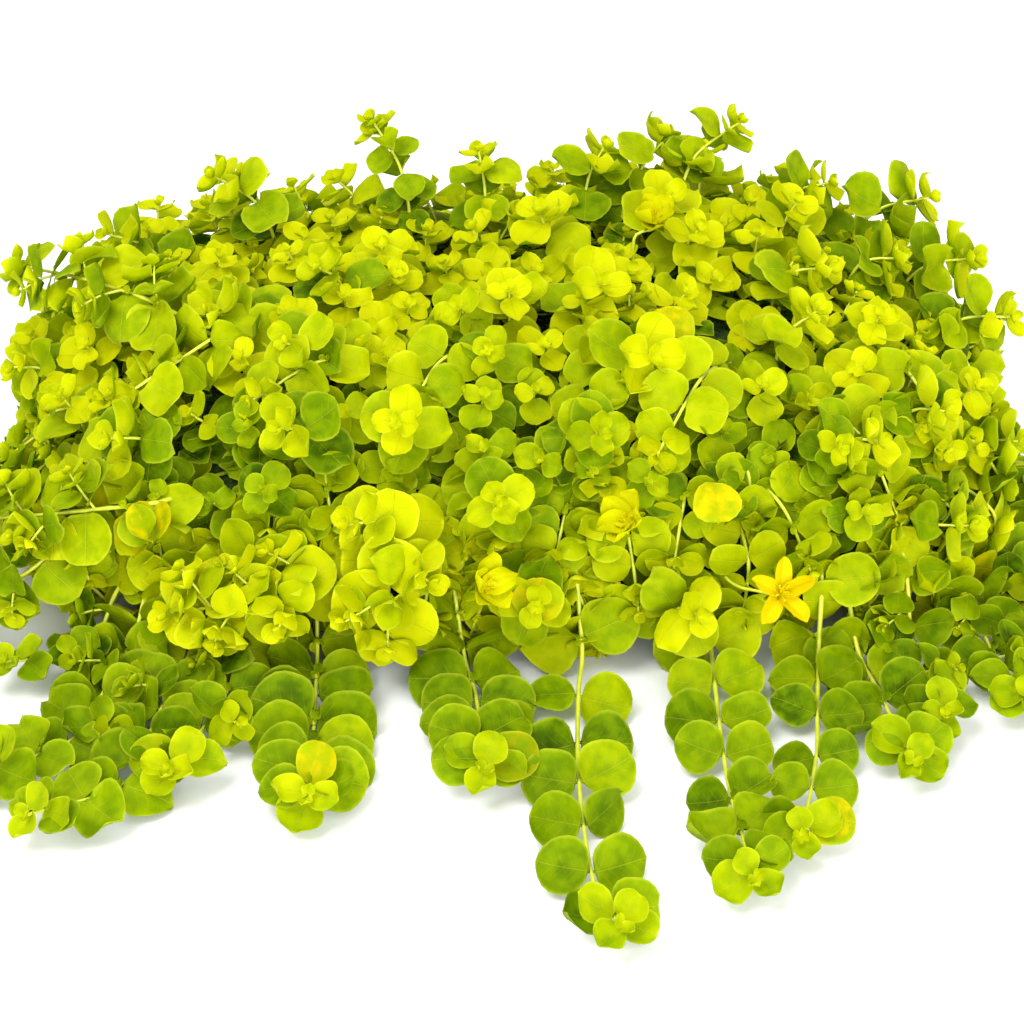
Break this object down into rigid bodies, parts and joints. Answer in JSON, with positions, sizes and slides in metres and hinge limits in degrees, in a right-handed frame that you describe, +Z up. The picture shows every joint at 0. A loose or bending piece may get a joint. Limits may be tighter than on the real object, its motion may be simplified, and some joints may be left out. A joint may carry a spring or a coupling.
{
  "type": "creeping jenny",
  "caption": "Clump of golden creeping jenny, cut flat at the base to rest on a surface, with round paired leaves, stems trailing over the floor in front and small yellow flowers.",
  "frame": {"origin": "middle of the flat cut that the clump rests on", "axes": "+Z up, away from the cut; -Y towards the viewer of the picture, the way that the longest stems trail; +X to the viewer's right"},
  "size_m": [0.5094, 0.561, 0.158],
  "materials": {
    "leaf_green": "soft satin leaf",
    "trail_green": "soft satin leaf",
    "mat_green": "soft satin leaf",
    "petal_yellow": "soft matt petal"
  },
  "bodies": {
    "root": {"flower_front": "petal_yellow", "flower_low": "petal_yellow", "flower_middle": "petal_yellow", "flower_top": "petal_yellow", "mat": "mat_green", "shoot_edge_right": "leaf_green", "shoot_face_bright": "leaf_green", "shoot_face_far_left": "leaf_green", "shoot_face_far_right": "leaf_green", "shoot_face_left": "leaf_green", "shoot_face_low": "leaf_green", "shoot_face_middle": "leaf_green", "shoot_face_right": "leaf_green", "shoot_front_middle": "leaf_green", "shoot_front_right": "leaf_green", "shoot_shoulder_front": "leaf_green", "shoot_shoulder_left": "leaf_green", "shoot_side_right": "leaf_green", "shoot_top_bright": "leaf_green", "shoot_top_far_right": "leaf_green", "shoot_top_front": "leaf_green", "shoot_top_left": "leaf_green", "shoot_top_middle": "leaf_green", "shoot_top_right": "leaf_green", "spray_broad_hanging": "trail_green", "spray_front_left": "trail_green", "spray_left_arch": "trail_green", "spray_left_corner": "trail_green", "spray_left_low": "trail_green", "sprig_back_left": "leaf_green", "sprig_back_middle": "leaf_green", "sprig_back_pair": "leaf_green", "sprig_back_right": "leaf_green", "sprig_back_tall": "leaf_green", "sprig_left": "leaf_green", "sprig_left_corner": "leaf_green", "sprig_left_edge": "leaf_green", "sprig_right": "leaf_green", "sprig_right_corner": "leaf_green", "sprig_right_edge": "leaf_green", "sprig_right_shoulder": "leaf_green", "trail_back_left": "trail_green", "trail_back_mid": "trail_green", "trail_back_right": "trail_green", "trail_bright_tip": "trail_green", "trail_broad": "trail_green", "trail_double_row": "trail_green", "trail_left_corner": "trail_green", "trail_left_inner": "trail_green", "trail_left_outer": "trail_green", "trail_left_side": "trail_green", "trail_longest": "trail_green", "trail_right_corner": "trail_green", "trail_right_long": "trail_green", "trail_right_mid": "trail_green", "trail_right_outer": "trail_green", "trail_right_side": "trail_green", "trail_short": "trail_green", "trail_thick_stem": "trail_green"}
  },
  "joints": []
}
